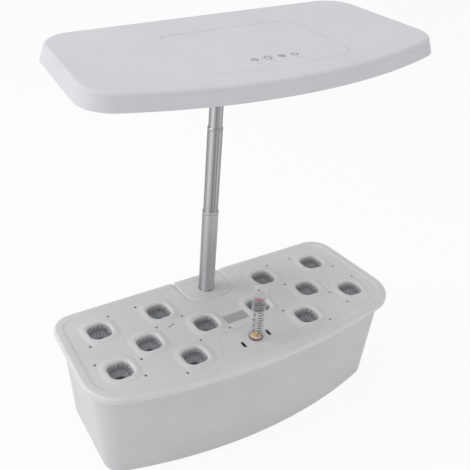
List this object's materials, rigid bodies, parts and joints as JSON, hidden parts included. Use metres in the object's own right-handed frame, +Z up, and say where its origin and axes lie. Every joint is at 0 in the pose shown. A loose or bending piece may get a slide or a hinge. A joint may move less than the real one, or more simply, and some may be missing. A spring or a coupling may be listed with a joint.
{
  "type": "countertop hydroponic garden",
  "caption": "Free-standing countertop hydroponic garden: water tank, planting deck with lift-out baskets, float gauge in a filling lid, and a flat grow light on a telescoping mast.",
  "frame": {"origin": "centre of the plan box, at the underside of the feet", "axes": "+Z up, +Y to the back where the mast stands, +X to the right seen from the front"},
  "size_m": [0.405, 0.1956, 0.454],
  "materials": {
    "tank": "fine satin",
    "planting_deck": "fine satin",
    "fill_lid": "fine satin",
    "mast_foot": "fine satin",
    "hood_shell": "satin",
    "touch_panel": "semi-gloss film",
    "hood_tray": "matte",
    "mast_head": "satin",
    "baskets": "frosted",
    "gauge_ring": "satin",
    "gauge_tube": "clear",
    "gauge_sleeve": "clear, printed scale",
    "float_and_stem": "matte",
    "float_marker": "satin",
    "mast_tubes": "brushed along the tube",
    "mast_glides": "matte",
    "screws": "plain",
    "feet": "matte",
    "led_board": "solder mask",
    "control_board": "solder mask",
    "black_plastic": "satin",
    "impeller": "satin"
  },
  "bodies": {
    "tank": {"tank": "tank", "rubber_foot_left_back": "feet", "rubber_foot_left_front": "feet", "rubber_foot_right_back": "feet", "rubber_foot_right_front": "feet", "mast_foot": "mast_foot", "mast_foot_screw_left": "screws", "mast_foot_screw_right": "screws", "lower_tube": "mast_tubes", "pump_housing": "black_plastic", "pump_nozzle": "black_plastic", "pump_cover": "black_plastic", "pump_foot_left_back": "feet", "pump_foot_left_front": "feet", "pump_foot_right_back": "feet", "pump_foot_right_front": "feet"},
    "deck": {"planting_deck": "planting_deck"},
    "lid": {"fill_lid": "fill_lid", "gauge_ring": "gauge_ring", "gauge_tube": "gauge_tube", "gauge_sleeve": "gauge_sleeve"},
    "gauge_float": {"float_and_stem": "float_and_stem", "float_marker": "float_marker"},
    "middle_mast": {"middle_tube": "mast_tubes", "middle_glide": "mast_glides"},
    "lamp": {"upper_tube": "mast_tubes", "upper_glide": "mast_glides", "mast_head": "mast_head", "hood_shell": "hood_shell", "hood_tray": "hood_tray", "led_board": "led_board", "touch_panel": "touch_panel", "control_board": "control_board", "power_socket": "black_plastic", "hood_screw_left_back": "screws", "hood_screw_left_front": "screws", "hood_screw_right_back": "screws", "hood_screw_right_front": "screws"},
    "pump_impeller": {"impeller": "impeller"},
    "basket_left_outer_back_cup": {"basket_left_outer_back": "baskets"},
    "basket_right_outer_back_cup": {"basket_right_outer_back": "baskets"},
    "basket_left_outer_front_cup": {"basket_left_outer_front": "baskets"},
    "basket_right_outer_front_cup": {"basket_right_outer_front": "baskets"},
    "basket_left_middle_cup": {"basket_left_middle": "baskets"},
    "basket_right_middle_cup": {"basket_right_middle": "baskets"},
    "basket_left_inner_back_cup": {"basket_left_inner_back": "baskets"},
    "basket_right_inner_back_cup": {"basket_right_inner_back": "baskets"},
    "basket_left_inner_cup": {"basket_left_inner": "baskets"},
    "basket_right_inner_cup": {"basket_right_inner": "baskets"},
    "basket_left_inner_front_cup": {"basket_left_inner_front": "baskets"},
    "basket_right_inner_front_cup": {"basket_right_inner_front": "baskets"}
  },
  "joints": [
    {"name": "deck_lift", "type": "slide", "parent": "tank", "child": "deck", "axis": [0, 0, 1], "range_m": [0, 0.09]},
    {"name": "lid_lift", "type": "slide", "parent": "deck", "child": "lid", "axis": [0, 0, 1], "range_m": [0, 0.08]},
    {"name": "float_rise", "type": "slide", "parent": "lid", "child": "gauge_float", "axis": [0, 0, 1], "range_m": [0, 0.05]},
    {"name": "middle_tube_slide", "type": "slide", "parent": "tank", "child": "middle_mast", "axis": [0, 0, 1], "range_m": [-0.09, 0]},
    {"name": "upper_tube_slide", "type": "slide", "parent": "middle_mast", "child": "lamp", "axis": [0, 0, 1], "range_m": [-0.08, 0]},
    {"name": "impeller_spin", "type": "hinge", "parent": "tank", "child": "pump_impeller", "pos_m": [-0.06, -0.0175, 0.0256], "axis": [0, 1, 0], "continuous": true},
    {"name": "basket_left_outer_back_lift", "type": "slide", "parent": "deck", "child": "basket_left_outer_back_cup", "axis": [0, 0, 1], "range_m": [0, 0.06]},
    {"name": "basket_right_outer_back_lift", "type": "slide", "parent": "deck", "child": "basket_right_outer_back_cup", "axis": [0, 0, 1], "range_m": [0, 0.06]},
    {"name": "basket_left_outer_front_lift", "type": "slide", "parent": "deck", "child": "basket_left_outer_front_cup", "axis": [0, 0, 1], "range_m": [0, 0.06]},
    {"name": "basket_right_outer_front_lift", "type": "slide", "parent": "deck", "child": "basket_right_outer_front_cup", "axis": [0, 0, 1], "range_m": [0, 0.06]},
    {"name": "basket_left_middle_lift", "type": "slide", "parent": "deck", "child": "basket_left_middle_cup", "axis": [0, 0, 1], "range_m": [0, 0.06]},
    {"name": "basket_right_middle_lift", "type": "slide", "parent": "deck", "child": "basket_right_middle_cup", "axis": [0, 0, 1], "range_m": [0, 0.06]},
    {"name": "basket_left_inner_back_lift", "type": "slide", "parent": "deck", "child": "basket_left_inner_back_cup", "axis": [0, 0, 1], "range_m": [0, 0.06]},
    {"name": "basket_right_inner_back_lift", "type": "slide", "parent": "deck", "child": "basket_right_inner_back_cup", "axis": [0, 0, 1], "range_m": [0, 0.06]},
    {"name": "basket_left_inner_lift", "type": "slide", "parent": "deck", "child": "basket_left_inner_cup", "axis": [0, 0, 1], "range_m": [0, 0.06]},
    {"name": "basket_right_inner_lift", "type": "slide", "parent": "deck", "child": "basket_right_inner_cup", "axis": [0, 0, 1], "range_m": [0, 0.06]},
    {"name": "basket_left_inner_front_lift", "type": "slide", "parent": "deck", "child": "basket_left_inner_front_cup", "axis": [0, 0, 1], "range_m": [0, 0.06]},
    {"name": "basket_right_inner_front_lift", "type": "slide", "parent": "deck", "child": "basket_right_inner_front_cup", "axis": [0, 0, 1], "range_m": [0, 0.06]}
  ]
}
